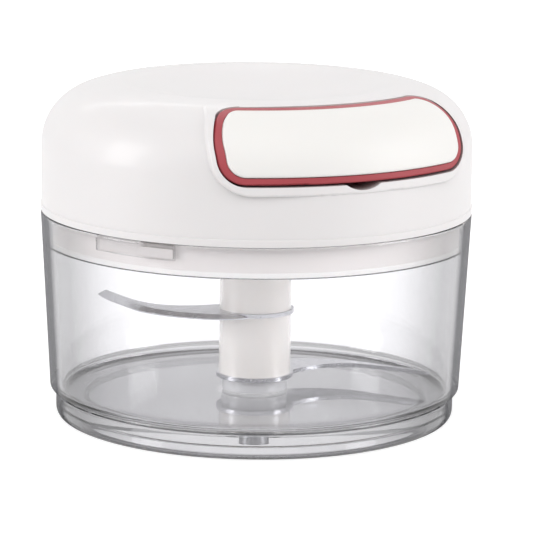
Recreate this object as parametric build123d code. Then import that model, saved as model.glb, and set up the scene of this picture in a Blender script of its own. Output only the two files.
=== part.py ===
from build123d import *
import os
from math import acos, atan2, cos, degrees, pi, radians, sin, sqrt, tan

# Pull-cord garlic chopper: a clear bowl, a domed lid that holds a cord spool and its
# recoil spring, a pull handle let into the lid's front, and a blade unit on a pin.
# Millimetres. +Z is up, the origin is under the middle of the foot ring.
# The handle pulls along -Y. Azimuths are degrees from -Y towards +X.

# Clearances shared by all pieces
running_gap = 0.05
seat_gap = 0.1
part_gap = 0.3
screw_gap = 0.2
overrun = 5.0

# Turns, and the share of a radius that a rounded corner stands in at its middle
full_turn = 360
half_turn = 180
quarter_turn = 90
corner_share = 1 - sqrt(1 / 2)
middle_share = 0.5

# Lid outline
lid_radius = 42.0
band_proud = 0.15
band_height = 1.4
lid_wall_height = 12.9
seam_gap = 0.12
shoulder_radius = 11.3
crest_inset = 15.7
crown_rise = 0.8
dish_depth = 2.8
dish_edge_radius = 8.0
lid_wall = 2.0

# Bowl
bowl_height = 41.0
bowl_taper = 1.8
bowl_step_z = 6.0
foot_step_inset = 1.15
foot_step_height = 1.0
foot_edge_radius = 1.8
foot_land_width = 3.9
foot_recess_depth = 1.8
foot_recess_draft = 0.5
bowl_floor_z = 5.0
bowl_inner_fillet = 2.6
bowl_wall = 2.3
rim_width = 2.2
ledge_drop = 6.0
ledge_width = 0.75
rim_edge_radius = 0.5
boss_radius = 3.6
boss_height = 1.0

# Bayonet
lug_count = 3
lug_azimuth = -54.6
lug_width_deg = 9.6
lug_height = 1.8
lug_drop = 2.9
lug_reach = 1.1
lock_turn_deg = 14.2
lug_gap_deg = 0.6

# Lid base plate and skirt
skirt_drop = 5.0
skirt_gap = 0.45
skirt_wall = 1.8
plate_rise = 0.5
plate_thickness = 1.8

# Seal
seal_width = 1.65

# Handle and its recess
handle_axis_shift = 5.0
handle_half_width = 25.85
handle_bottom_drop = 1.2
handle_top_drop = 0.4
handle_bottom_corner = 4.4
handle_top_corner = 7.2
handle_depth_share = 0.262
back_rim_drop = 1.0
back_corner_radius = 4.0
back_corner_azimuth = 29.5
side_flare_deg = 50.0
handle_wall = 1.8
cover_border = 1.4
cover_top_drop = 0.45
cover_edge_radius = 0.5
tray_edge_radius = 0.4
cover_thickness = 2.2
cover_proud = 0.35
cover_ledge = 1.4
cover_gap = 0.12
cover_boss_radius = 2.4
cover_boss_offset = 14.0
cover_boss_rise = 6.7
recess_gap = 0.35
lip_drop = 1.1
lip_side = 0.7
lip_sink = 0.35
lip_proud = 0.3
lip_edge_radius = 0.5
notch_half_width = 3.6
notch_depth = 1.1

# Pull cord
cord_radius = 0.8
cord_rise = 3.3
winding_inner_radius = 8.2
winding_pitch = 2.3
lead_bend_radius = 2.5
lead_corner_inset = 3.65
lead_reach = 7.2
knot_radius = 2.0
guide_bore_radius = 1.2
guide_barrel_radius = 2.4
guide_flange_radius = 3.4
guide_flange_thickness = 0.8

# Spool
spool_flange_lip = 1.2
spool_flange_thickness = 1.0
spool_slot_height = 2.6
spool_core_radius = 7.2
arbor_radius = 5.5
arbor_pocket_radius = 3.7
arbor_pocket_depth = 7.4

# Axle and its retainers
axle_radius = 2.0
axle_skin = 0.8
axle_boss_radius = 5.0
washer_thickness = 0.5
top_washer_radius = 4.5
retaining_washer_radius = 3.4
axle_screw_radius = 1.0
axle_screw_length = 5.0
axle_screw_head_radius = 2.6
axle_screw_head_height = 1.6

# Recoil spring and its case
spring_strip = 0.4
spring_pitch = 1.1
spring_room = 1.25
spring_height = 4.6
spring_arbor_gap = 0.5
case_radius_share = 0.5
case_wall = 1.2
case_floor = 1.0
case_hole_gap = 0.6
cover_plate_thickness = 1.2

# Fasteners
case_ear_gap = 1.0
case_screw_azimuths = (50.0, 140.0, 220.0, 310.0)
case_boss_radius = 2.6
case_screw_radius = 1.0
case_screw_head_radius = 2.0
case_screw_head_height = 1.1
case_screw_length = 6.0
lid_screw_inset = 11.0
lid_screw_azimuths = (95.0, 180.0, 265.0)
lid_post_radius = 3.3
lid_screw_radius = 1.3
lid_screw_head_radius = 2.6
lid_screw_head_height = 1.4
lid_screw_length = 10.0
handle_screw_radius = 0.9
handle_screw_head_radius = 1.6
handle_screw_head_height = 0.9
handle_screw_length = 5.0
slot_width = 0.5
slot_depth_share = 0.5

# Output drive
bush_radius = 7.0
bush_flange_radius = 8.4
bush_flange_thickness = 0.9
dog_length = 6.6
dog_thickness = 2.4
dog_height = 4.4
dog_plug_height = 3.4
socket_clearance = 0.3
socket_play_deg = 15.0

# Blade unit
hub_radius = 7.1
hub_shaft_radius = 4.2
hub_shaft_gap = 0.1
hub_top_gap = 0.2
hub_head_height = 7.4
socket_depth = 4.2
upper_blade_z = 21.2
lower_blade_z = 8.3
blade_thickness = 0.8
blade_ring_proud = 0.5
blade_bevel_width = 1.8
blade_bevel_share = 0.7
blade_tip_gap = 5.8
blade_sweep = 15.2
upper_blade_azimuth = 152.1
lower_blade_turn = 207.0
shaft_bottom_z = 6.4
foot_collar_radius = 6.5
foot_collar_bottom_z = 5.5
pin_radius = 2.0
pin_length = 11.4
pin_foot_z = 3.2
pin_gap = 0.06

# Blade outline from root to tip, as shares of the blade's length and sweep.
# The cutting edge is on the +Y side.
blade_back_shares = (
    (0.139, -0.224), (0.222, -0.158), (0.451, -0.039), (0.633, -0.145), (0.756, -0.388), (0.886, -0.789),
    (0.951, -1.0),
)
blade_edge_shares = (
    (1.0, -0.921), (0.917, -0.553), (0.812, -0.197), (0.685, 0.191), (0.503, 0.454), (0.324, 0.586),
    (0.170, 0.618), (0.031, 0.480),
)

os.makedirs("parts", exist_ok=True)


def save(solid, name):
    """Write one piece, or one group of like pieces, to its own file."""
    solid.label = name
    export_step(solid, f"parts/{name}.step")


def group(solids):
    """Several separate solids as one node."""
    return Compound(children=list(solids))


def at(radius, height):
    """A point of a turned section, in the XZ plane."""
    return Vector(radius, 0, height)


def around(radius, azimuth, height=0):
    """A point at an azimuth, counted from -Y towards +X."""
    turn = radians(azimuth)
    return Vector(radius * sin(turn), -radius * cos(turn), height)


def turned(edges):
    """Revolve a closed section about Z."""
    return revolve(make_face(edges), Axis.Z)


def chain(points):
    """Straight edges through the points."""
    return [Line(a, b) for a, b in zip(points, points[1:])]


def disc(radius, bottom, top, x=0, y=0):
    """A solid cylinder between two heights."""
    return Pos(x, y, bottom) * Cylinder(radius, top - bottom, align=(Align.CENTER, Align.CENTER, Align.MIN))


def tube(outer, inner, bottom, top, x=0, y=0):
    """A ring between two heights."""
    return disc(outer, bottom, top, x, y) - disc(inner, bottom - overrun, top + overrun, x, y)


def rod_y(radius, start, end, x, z):
    """A cylinder along Y between two places."""
    return Plane(origin=(x, start, z), z_dir=(0, end - start, 0)) * Cylinder(
        radius, abs(end - start), align=(Align.CENTER, Align.CENTER, Align.MIN)
    )


def sector(outer, inner, bottom, top, middle, width):
    """A piece of a ring, centred on an azimuth."""
    half = radians(width / 2)
    reach = (outer + overrun) / cos(half)
    side, front = reach * sin(half), -reach * cos(half)
    wedge = Polyline((0, 0), (-side, front), (side, front), close=True)
    block = Pos(0, 0, bottom) * extrude(make_face(wedge), amount=top - bottom)
    return tube(outer, inner, bottom, top) & (Rot(0, 0, middle) * block)


# Sizes and heights that follow the lid outline and the bowl
crest_radius = lid_radius - crest_inset
lid_wall_top_z = bowl_height + lid_wall_height
crest_z = lid_wall_top_z + shoulder_radius + crown_rise
bowl_rim_radius = lid_radius + band_proud
bowl_foot_radius = bowl_rim_radius - bowl_taper
foot_ring_radius = bowl_foot_radius - foot_step_inset
bowl_mouth_radius = bowl_rim_radius - rim_width
ledge_radius = bowl_mouth_radius - ledge_width
ledge_z = bowl_height - ledge_drop
lug_bottom_z = bowl_height - lug_drop
skirt_bottom_z = bowl_height - skirt_drop
skirt_radius = bowl_mouth_radius - skirt_gap
plate_bottom_z = bowl_height + plate_rise
seal_outer_radius = bowl_mouth_radius - part_gap
seal_inner_radius = seal_outer_radius - seal_width
handle_bottom_z = lid_wall_top_z - handle_bottom_drop
handle_top_z = crest_z - handle_top_drop
back_rim_z = crest_z - back_rim_drop
handle_back_radius = lid_radius * (1 - handle_depth_share) + handle_axis_shift
cover_boss_z = handle_bottom_z + cover_boss_rise
cord_z = handle_bottom_z + cord_rise
blade_length = bowl_foot_radius - bowl_wall - blade_tip_gap

# The second shoulder arc runs on to the crest, tangent to the first arc and level at the crest.
shoulder_rise = crest_z - lid_wall_top_z
shoulder_run = lid_radius - shoulder_radius - crest_radius
shoulder_reach = shoulder_run**2 + shoulder_rise**2 - shoulder_radius**2
crown_radius = shoulder_reach / (2 * (shoulder_rise - shoulder_radius))
dish_turn = 2 * atan2(dish_depth, crest_radius)
dish_radius = crest_radius / sin(dish_turn) - dish_edge_radius


def dome(shift, offset, bottom, dished):
    """The lid's outer form down to a height, grown by offset, on an axis set back by shift."""
    shoulder = (crest_radius + shoulder_run + shift, lid_wall_top_z)
    crown = (crest_radius + shift, crest_z - crown_radius)
    lean = atan2(shoulder[1] - crown[1], shoulder[0] - crown[0])

    def on(centre, radius, angle):
        return at(centre[0] + radius * cos(angle), centre[1] + radius * sin(angle))

    low, high = shoulder_radius + offset, crown_radius + offset
    wall_top = on(shoulder, low, 0)
    join = on(shoulder, low, lean)
    crest = on(crown, high, pi / 2)
    edges = [
        Line(at(wall_top.X, bottom), wall_top),
        ThreePointArc(wall_top, on(shoulder, low, lean / 2), join),
        ThreePointArc(join, on(crown, high, (lean + pi / 2) / 2), crest),
    ]
    if dished:
        lip = (crest_radius + shift, crest_z - dish_edge_radius)
        bowl_centre = (shift, crest_z - dish_depth + dish_radius)
        rim, hollow = dish_edge_radius + offset, dish_radius - offset
        turn_end = on(lip, rim, pi / 2 + dish_turn)
        middle = at(shift, bowl_centre[1] - hollow)
        edges += [
            ThreePointArc(crest, on(lip, rim, pi / 2 + dish_turn / 2), turn_end),
            ThreePointArc(turn_end, on(bowl_centre, hollow, -pi / 2 + dish_turn / 2), middle),
        ]
        last = middle
    else:
        last = at(0, crest.Z)
        edges.append(Line(crest, last))
    edges += [Line(last, at(0, bottom)), Line(at(0, bottom), at(wall_top.X, bottom))]
    return Pos(0, shift, 0) * turned(edges)


def handle_outline(grow, top=handle_top_z, drop=0):
    """A prism along Y with the handle's rounded outline, grown by a border and taller by a drop."""
    low, high = handle_bottom_z - grow - drop, top + grow
    small, large = handle_bottom_corner + grow + drop, handle_top_corner + grow
    small_in, large_in = small * corner_share, large * corner_share
    edges = []
    for side in (handle_half_width + grow, -handle_half_width - grow):
        sign = side / abs(side)

        def spot(inset, height):
            return Vector(side - sign * inset, 0, height)

        edges += [
            Line(spot(abs(side), low), spot(small, low)),
            ThreePointArc(spot(small, low), spot(small_in, low + small_in), spot(0, low + small)),
            Line(spot(0, low + small), spot(0, high - large)),
            ThreePointArc(spot(0, high - large), spot(large_in, high - large_in), spot(large, high)),
            Line(spot(large, high), spot(abs(side), high)),
        ]
    return extrude(make_face(edges), amount=lid_radius + overrun, dir=(0, -1, 0))


def handle_plan(grow):
    """A tall prism with the handle's plan: a round back, rounded back corners and flared sides."""
    back, corner = handle_back_radius - grow, back_corner_radius + grow
    azimuth = radians(back_corner_azimuth)
    start_turn, end_turn = -azimuth, radians(quarter_turn - side_flare_deg)
    front_y = -handle_axis_shift - lid_radius - overrun
    edges, starts, fronts = [], [], []
    for side in (1, -1):
        centre_x, centre_y = side * (back + corner) * sin(azimuth), -(back + corner) * cos(azimuth)

        def on(turn):
            return Vector(centre_x + side * corner * sin(turn), centre_y + corner * cos(turn), 0)

        end = on(end_turn)
        starts.append(on(start_turn))
        fronts.append(Vector(end.X + side * (end.Y - front_y) / tan(end_turn), front_y, 0))
        middle = on((start_turn + end_turn) * middle_share)
        edges += [ThreePointArc(starts[-1], middle, end), Line(end, fronts[-1])]
    edges += [ThreePointArc(starts[0], Vector(0, -back, 0), starts[1]), Line(fronts[0], fronts[1])]
    plan = extrude(make_face(edges), amount=crest_z + 2 * overrun, dir=(0, 0, 1))
    return Pos(0, handle_axis_shift, -overrun) * plan


def screw(length, radius, head_radius, head_height):
    """A screw with its head at the origin, its shank up +Z and a slot in the head."""
    head = disc(head_radius, -head_height, 0)
    slot = Pos(0, 0, -head_height) * Box(2 * head_radius, slot_width, 2 * head_height * slot_depth_share)
    return head + disc(radius, 0, length) - slot


def spiral(inner, pitch, turns):
    """Half-turn arcs that wind outwards from +X at a steady pitch, as a list of edges."""
    edges = []
    radius, centre, side = inner, 0, 1
    for step in range(2 * turns):
        start = (centre + side * radius, 0)
        end = (centre - side * radius, 0)
        edges.append(ThreePointArc(start, (centre, side * radius), end))
        radius += pitch / 2
        centre += side * pitch / 2
        side = -side
    return edges


# Heights worked out from the sizes above
plate_top_z = plate_bottom_z + plate_thickness
slot_bottom_z = cord_z - spool_slot_height / 2
slot_top_z = cord_z + spool_slot_height / 2
spool_bottom_z = slot_bottom_z - spool_flange_thickness
spool_top_z = slot_top_z + spool_flange_thickness
axle_boss_z = spool_top_z + washer_thickness + 2 * running_gap
axle_top_z = crest_z - dish_depth - axle_skin
case_floor_top_z = plate_top_z + case_floor
case_top_z = case_floor_top_z + spring_height + 2 * part_gap
arbor_bottom_z = plate_bottom_z - part_gap
hub_top_z = plate_bottom_z - bush_flange_thickness - hub_top_gap
pocket_top_z = arbor_bottom_z + arbor_pocket_depth
recess_back_radius = handle_back_radius - recess_gap
recess_back_y = handle_axis_shift - recess_back_radius
handle_back_y = handle_axis_shift - handle_back_radius
knot_y = handle_back_y - handle_wall - seat_gap - knot_radius

# The cord's lead leaves the winding on a tangent and turns at a corner in front of the guide.
# The lid's room sets how many turns of cord and of spring there are.
cord_straight = 2 * cord_radius
cord_join_y = recess_back_y + lid_wall + part_gap
lead_corner_y = cord_join_y + lead_corner_inset
winding_turns = int((-lead_corner_y - lead_reach - winding_inner_radius) / winding_pitch)
winding_outer_radius = winding_inner_radius + winding_pitch * winding_turns
lead_angle = acos(winding_outer_radius / -lead_corner_y)
lead_touch = Vector(-winding_outer_radius * sin(lead_angle), -winding_outer_radius * cos(lead_angle), 0)
lead_corner = Vector(0, lead_corner_y, 0)
lead_heading = (lead_corner - lead_touch).normalized()
lead_start = lead_touch + lead_heading * cord_straight
spool_flange_radius = winding_outer_radius + cord_radius + spool_flange_lip
spring_inner_radius = arbor_radius + spring_arbor_gap
case_radius = lid_radius * case_radius_share
spring_outer_radius = case_radius - case_wall - spring_room - spring_strip
spring_turns = int((spring_outer_radius - spring_inner_radius) / spring_pitch)
case_screw_circle = case_radius + case_ear_gap + case_boss_radius
lid_screw_circle = lid_radius - lid_screw_inset


def make_bowl():
    """Clear bowl: tapered wall on a foot ring, a seal ledge, a pin boss and bayonet slots."""
    edge = rim_edge_radius
    edge_in = edge * corner_share
    rim_in = bowl_mouth_radius
    foot = foot_edge_radius
    foot_in = foot * corner_share
    land = foot_ring_radius - foot
    recess = land - foot_land_width
    inner_foot = bowl_foot_radius - bowl_wall
    fillet = bowl_inner_fillet
    fillet_in = fillet * corner_share
    step_z = bowl_step_z - foot_step_height
    edges = [
        Line(at(0, foot_recess_depth), at(recess - foot_recess_draft, foot_recess_depth)),
        Line(at(recess - foot_recess_draft, foot_recess_depth), at(recess, 0)),
        Line(at(recess, 0), at(land, 0)),
        ThreePointArc(at(land, 0), at(foot_ring_radius - foot_in, foot_in), at(foot_ring_radius, foot)),
        *chain([at(foot_ring_radius, foot), at(foot_ring_radius, step_z), at(bowl_foot_radius, bowl_step_z),
                at(bowl_rim_radius, bowl_height - edge)]),
        ThreePointArc(at(bowl_rim_radius, bowl_height - edge),
                      at(bowl_rim_radius - edge_in, bowl_height - edge_in),
                      at(bowl_rim_radius - edge, bowl_height)),
        *chain([at(bowl_rim_radius - edge, bowl_height), at(rim_in, bowl_height), at(rim_in, ledge_z),
                at(ledge_radius, ledge_z), at(inner_foot, bowl_floor_z + fillet)]),
        ThreePointArc(at(inner_foot, bowl_floor_z + fillet),
                      at(inner_foot - fillet_in, bowl_floor_z + fillet_in),
                      at(inner_foot - fillet, bowl_floor_z)),
        *chain([at(inner_foot - fillet, bowl_floor_z), at(boss_radius, bowl_floor_z),
                at(boss_radius, bowl_floor_z + boss_height), at(0, bowl_floor_z + boss_height),
                at(0, foot_recess_depth)]),
    ]
    bowl = turned(edges) - disc(pin_radius, pin_foot_z, bowl_floor_z + overrun)
    groove_radius = skirt_radius + lug_reach + part_gap
    entry_width = lug_width_deg + 2 * lug_gap_deg
    run_width = entry_width + lock_turn_deg
    groove_bottom = lug_bottom_z - part_gap
    groove_top = lug_bottom_z + lug_height + part_gap
    core = bowl_mouth_radius - lug_reach
    for number in range(lug_count):
        middle = lug_azimuth + number * full_turn / lug_count
        bowl -= sector(groove_radius, core, groove_bottom, bowl_height + overrun, middle, entry_width)
        bowl -= sector(groove_radius, core, groove_bottom, groove_top, middle - lock_turn_deg / 2, run_width)
    return bowl


def make_lid_base():
    """Plate that closes the lid from below, with the skirt, the bayonet lugs and case bosses."""
    base = disc(skirt_radius, plate_bottom_z, plate_top_z)
    base += tube(skirt_radius, skirt_radius - skirt_wall, skirt_bottom_z, plate_bottom_z)
    for number in range(lug_count):
        middle = lug_azimuth + number * full_turn / lug_count
        reach, root = skirt_radius + lug_reach, skirt_radius - skirt_wall / 2
        base += sector(reach, root, lug_bottom_z, lug_bottom_z + lug_height, middle, lug_width_deg)
    for azimuth in case_screw_azimuths:
        spot = around(case_screw_circle, azimuth)
        base += disc(case_boss_radius, plate_top_z, case_top_z, spot.X, spot.Y)
        base -= disc(case_screw_radius + running_gap, plate_top_z, case_top_z + overrun, spot.X, spot.Y)
    for azimuth in lid_screw_azimuths:
        spot = around(lid_screw_circle, azimuth)
        base -= disc(lid_screw_radius + screw_gap, skirt_bottom_z, plate_top_z + overrun, spot.X, spot.Y)
    return base - disc(bush_radius + running_gap, plate_bottom_z - overrun, plate_top_z + overrun)


def make_recess_lip(bottom):
    """Rounded lip that carries the flatter handle past the round lid, widest under the handle."""
    form = Pos(0, 0, -lip_sink) * dome(handle_axis_shift, lip_proud, bottom, False)
    lip = form & handle_outline(recess_gap + lip_side, handle_top_z, lip_drop)
    lip -= Pos(0, handle_axis_shift, 0) * disc(recess_back_radius, bottom, crest_z + overrun)

    def is_front_rim(edge):
        middle = edge @ middle_share
        reach = (middle - Vector(0, handle_axis_shift, middle.Z)).length
        level = abs((edge % middle_share).Z) < running_gap
        return reach > recess_back_radius + lip_side and (middle.Z < handle_bottom_z or not level)

    rim = lip.edges().filter_by(GeomType.LINE, reverse=True).filter_by(is_front_rim)
    return fillet(rim, lip_edge_radius)


def make_lid_shell():
    """Domed lid: an even wall, a lip round the handle recess, posts and the axle boss."""
    lid_bottom_z = bowl_height + seam_gap
    outside = dome(0, 0, lid_bottom_z, True)
    band_radius = lid_radius + band_proud
    band_top_z = lid_bottom_z + band_height
    slope = Pos(0, 0, band_top_z - band_proud) * Cone(
        band_radius, lid_radius, band_proud, align=(Align.CENTER, Align.CENTER, Align.MIN)
    )
    band = disc(band_radius, lid_bottom_z, band_top_z - band_proud) + slope
    band -= disc(lid_radius - lid_wall / 2, lid_bottom_z, lid_wall_top_z)
    hollow = dome(0, -lid_wall, lid_bottom_z - overrun, True)
    hollow -= handle_outline(recess_gap + lid_wall) & handle_plan(recess_gap + lid_wall)
    for azimuth in lid_screw_azimuths:
        spot = around(lid_screw_circle, azimuth)
        hollow -= disc(lid_post_radius, plate_top_z, crest_z, spot.X, spot.Y)
    hollow -= disc(axle_boss_radius, axle_boss_z, crest_z)
    shell = outside + band - hollow
    shell += make_recess_lip(lid_bottom_z)
    shell -= handle_outline(recess_gap) & handle_plan(recess_gap)
    notch_radius = (notch_half_width**2 + notch_depth**2) / (2 * notch_depth)
    notch_z = handle_bottom_z - recess_gap - notch_depth + notch_radius
    notch = rod_y(notch_radius, handle_back_y, -lid_radius - overrun, 0, notch_z)
    shell -= notch & Pos(0, handle_axis_shift, 0) * tube(
        lid_radius + 2 * overrun, recess_back_radius, lid_bottom_z, handle_bottom_z + recess_gap
    )
    wall_inside_y = recess_back_y + lid_wall
    barrel, flange = guide_barrel_radius + running_gap, guide_flange_radius + running_gap
    shell -= rod_y(barrel, wall_inside_y + overrun, recess_back_y - overrun, 0, cord_z)
    shell -= rod_y(flange, wall_inside_y + overrun, wall_inside_y, 0, cord_z)
    shell -= disc(axle_radius + running_gap, axle_boss_z - overrun, axle_top_z)
    for azimuth in lid_screw_azimuths:
        spot = around(lid_screw_circle, azimuth)
        pilot_top = plate_bottom_z + lid_screw_length + part_gap
        shell -= disc(lid_screw_radius + running_gap, plate_top_z - overrun, pilot_top, spot.X, spot.Y)
    return shell


def cover_outline(inset):
    """The white face's outline, or a smaller copy of it."""
    return handle_outline(-cover_border - inset, handle_top_z - cover_top_drop + cover_border)


def handle_ring(inset, offset):
    """The handle between its plan, made smaller by an inset, and the outer form grown by offset."""
    return dome(handle_axis_shift, offset, handle_bottom_z - overrun, False) & handle_plan(-inset)


def front_rim(solid):
    """Edges round the outward faces of a piece of the dome, without the seams between them."""
    fronts = []
    for face in solid.faces():
        place = face.position_at(middle_share, middle_share)
        outward = Vector(place.X, place.Y - handle_axis_shift, 0)
        normal = face.normal_at(place)
        radial = abs(normal.X * outward.Y - normal.Y * outward.X) < running_gap
        if radial and normal.dot(outward) > running_gap and outward.length > handle_back_radius:
            fronts += face.edges()
    return [edge for edge in fronts if sum(edge.is_same(other) for other in fronts) == 1]


cover_back = -cover_thickness
hollow_radius = handle_back_radius + handle_wall
cover_screw_spots = (-cover_boss_offset, cover_boss_offset)


def boss_back_y(x):
    """Where the handle's inner back wall lies at a given X."""
    return handle_axis_shift - sqrt(hollow_radius**2 - x**2)


def handle_back_at(x):
    """Where the handle's back face lies at a given X."""
    return handle_axis_shift - sqrt(handle_back_radius**2 - x**2)


def screw_seat_y(x):
    """Where a handle screw's head seats, sunk below the curved back face."""
    return handle_back_at(abs(x) - handle_screw_head_radius) - handle_screw_head_height


def make_handle_base():
    """Red tray of the handle: an open box that the white face closes."""
    base = handle_ring(0, 0) & handle_outline(0)
    for at_back in (False, True):
        rim = [edge for edge in front_rim(base) if ((edge @ middle_share).Z > back_rim_z) == at_back]
        base = fillet(rim, tray_edge_radius)
    base -= handle_ring(handle_wall, -cover_thickness) & cover_outline(cover_ledge)
    pocket = handle_ring(handle_wall, overrun) - dome(handle_axis_shift, cover_back - cover_gap, 0, False)
    base -= pocket & cover_outline(-cover_gap)
    base -= rod_y(cord_radius + part_gap, 0, handle_back_y - handle_wall - part_gap, 0, cord_z)
    knot_pocket_end = knot_y - knot_radius - part_gap
    base -= rod_y(knot_radius + part_gap, handle_back_y - handle_wall, knot_pocket_end, 0, cord_z)
    for x in cover_screw_spots:
        base -= rod_y(handle_screw_radius + screw_gap, 0, boss_back_y(x) - part_gap, x, cover_boss_z)
        base -= rod_y(handle_screw_head_radius + screw_gap, 0, screw_seat_y(x), x, cover_boss_z)
    return base


def make_handle_cover():
    """White face of the handle with two screw bosses behind it."""
    face = handle_ring(handle_wall + cover_gap, cover_proud)
    face -= dome(handle_axis_shift, cover_back, 0, False)
    cover = face & cover_outline(0)
    cover = fillet(front_rim(cover), cover_edge_radius)
    room = dome(handle_axis_shift, 0, 0, False) & cover_outline(cover_ledge + cover_gap)
    for x in cover_screw_spots:
        boss_end = boss_back_y(abs(x) - cover_boss_radius) - part_gap
        boss = rod_y(cover_boss_radius, boss_end, -lid_radius, x, cover_boss_z)
        cover += boss & room
        end = screw_seat_y(x) - handle_screw_length - part_gap
        cover -= rod_y(handle_screw_radius + running_gap, 0, end, x, cover_boss_z)
    return cover


def make_handle_screws():
    """The two screws that hold the face to the tray, seen from behind the handle."""
    head_radius, head_height = handle_screw_head_radius, handle_screw_head_height
    one = Rot(quarter_turn, 0, 0) * screw(handle_screw_length, handle_screw_radius, head_radius, head_height)
    return group([Pos(x, screw_seat_y(x) + running_gap, cover_boss_z) * one for x in cover_screw_spots])


def make_spool():
    """Cord spool: two flanges, a core, the spring arbor below and a pocket for the drive dog."""
    spool = disc(spool_flange_radius, spool_bottom_z, slot_bottom_z)
    spool += disc(spool_flange_radius, slot_top_z, spool_top_z)
    spool += disc(spool_core_radius, slot_bottom_z, slot_top_z)
    spool += disc(arbor_radius, arbor_bottom_z, spool_bottom_z)
    spool -= disc(axle_radius + running_gap, arbor_bottom_z - overrun, spool_top_z + overrun)
    return spool - disc(arbor_pocket_radius, arbor_bottom_z - overrun, pocket_top_z)


def make_axle():
    """Steel axle in the lid's boss, tapped from below for its screw."""
    bottom = pocket_top_z - running_gap
    bore_top = bottom + axle_screw_length + part_gap
    axle = disc(axle_radius, bottom, axle_top_z)
    return axle - disc(axle_screw_radius + running_gap, bottom - overrun, bore_top)


def make_axle_screw():
    """Screw up into the axle, under its washer."""
    one = screw(axle_screw_length, axle_screw_radius, axle_screw_head_radius, axle_screw_head_height)
    return Pos(0, 0, axle_washer_z) * one


def make_drive_dog():
    """Plug in the spool's pocket, with the flat dog that drives the blade unit."""
    plug = disc(arbor_pocket_radius - running_gap, arbor_bottom_z, arbor_bottom_z + dog_plug_height)
    bar = Pos(0, 0, arbor_bottom_z - dog_height / 2) * Box(dog_length, dog_thickness, dog_height)
    return plug + bar


def make_output_bush():
    """Flanged bush in the lid base that the spool's arbor turns in."""
    barrel = disc(bush_radius, plate_bottom_z, plate_top_z)
    flange = disc(bush_flange_radius, plate_bottom_z - bush_flange_thickness, plate_bottom_z)
    bore = disc(arbor_radius + running_gap, plate_bottom_z - overrun, plate_top_z + overrun)
    return barrel + flange - bore


def make_spring_case():
    """Shallow cup that the recoil spring lies in."""
    cup = disc(case_radius, plate_top_z, case_top_z)
    cup -= disc(case_radius - case_wall, case_floor_top_z, case_top_z + overrun)
    return cup - disc(arbor_radius + case_hole_gap, plate_top_z - overrun, case_top_z)


def make_spring_cover():
    """Disc over the spring, with an ear for each of its screws."""
    top = case_top_z + cover_plate_thickness
    plate = disc(case_radius, case_top_z, top)
    ear_radius = case_boss_radius
    for azimuth in case_screw_azimuths:
        spot = around(case_screw_circle, azimuth)
        arm = Pos(0, -case_screw_circle / 2, (case_top_z + top) / 2) * Box(
            2 * ear_radius, case_screw_circle, cover_plate_thickness
        )
        plate += disc(ear_radius, case_top_z, top, spot.X, spot.Y)
        plate += Rot(0, 0, azimuth) * arm
    for azimuth in case_screw_azimuths:
        spot = around(case_screw_circle, azimuth)
        plate -= disc(case_screw_radius + screw_gap, case_top_z - overrun, top + overrun, spot.X, spot.Y)
    return plate - disc(arbor_radius + case_hole_gap, case_top_z - overrun, top + overrun)


def make_recoil_spring():
    """Flat spiral spring: one strip wound in half-turn arcs."""
    inner = spring_inner_radius
    near = spiral(inner, spring_pitch, spring_turns)
    far = spiral(inner + spring_strip, spring_pitch, spring_turns)
    ends = [Line(near[0] @ 0, far[0] @ 0), Line(near[-1] @ 1, far[-1] @ 1)]
    strip = make_face(near + far + ends)
    return Pos(0, 0, case_floor_top_z + part_gap) * extrude(strip, amount=spring_height)


def make_screws(length, radius, head_radius, head_height, circle, azimuths, seat, flip):
    """Like screws round a circle, heads down or, flipped, heads up."""
    one = Rot(flip, 0, 0) * screw(length, radius, head_radius, head_height)
    return group([Pos(around(circle, azimuth, seat)) * one for azimuth in azimuths])


def make_winding():
    """The cord on the spool: one unbroken tube wound in a spiral, straight at both ends."""
    path = spiral(winding_inner_radius, winding_pitch, winding_turns)
    step = Vector(0, cord_straight, 0)
    first, last = path[0] @ 0, path[-1] @ 1
    path = [Line(first - step, first)] + path + [Line(last, last + step)]
    section = Plane(origin=first - step, z_dir=step) * Circle(cord_radius)
    coil = sweep(section, path=Wire(path))
    # The spiral ends on +X heading for +Y, so it is turned to head down the lead.
    turn = degrees(atan2(lead_heading.Y, lead_heading.X)) - quarter_turn
    return Pos(0, 0, cord_z) * Rot(0, 0, turn) * coil


def winding_gap():
    """Least clear distance between neighbouring turns, measured on points of the spiral."""
    path = spiral(winding_inner_radius, winding_pitch, winding_turns)
    steps = 12
    points = [arc @ (step / steps) for arc in path for step in range(steps)]
    length = sum(arc.length for arc in path) / len(points)
    skip = int(4 * cord_radius / length) + 2
    least = min(
        (a - b).length for i, a in enumerate(points) for b in points[i + skip:]
    )
    return least - 2 * cord_radius


def make_lead():
    """The cord from the spool to the guide, round the guide's inner edge."""
    height = Vector(0, 0, cord_z)
    route = FilletPolyline(lead_start + height, lead_corner + height, Vector(0, cord_join_y, cord_z),
                           radius=lead_bend_radius)
    section = Plane(origin=lead_start + height, z_dir=route % 0) * Circle(cord_radius)
    return sweep(section, path=route)


def make_cord_guide():
    """Flanged eyelet in the recess wall that the cord slides through."""
    start = recess_back_y + lid_wall + guide_flange_thickness
    guide = rod_y(guide_barrel_radius, start, recess_back_y, 0, cord_z)
    guide += rod_y(guide_flange_radius, start, start - guide_flange_thickness, 0, cord_z)
    return guide - rod_y(guide_bore_radius, start + overrun, recess_back_y - overrun, 0, cord_z)


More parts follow.
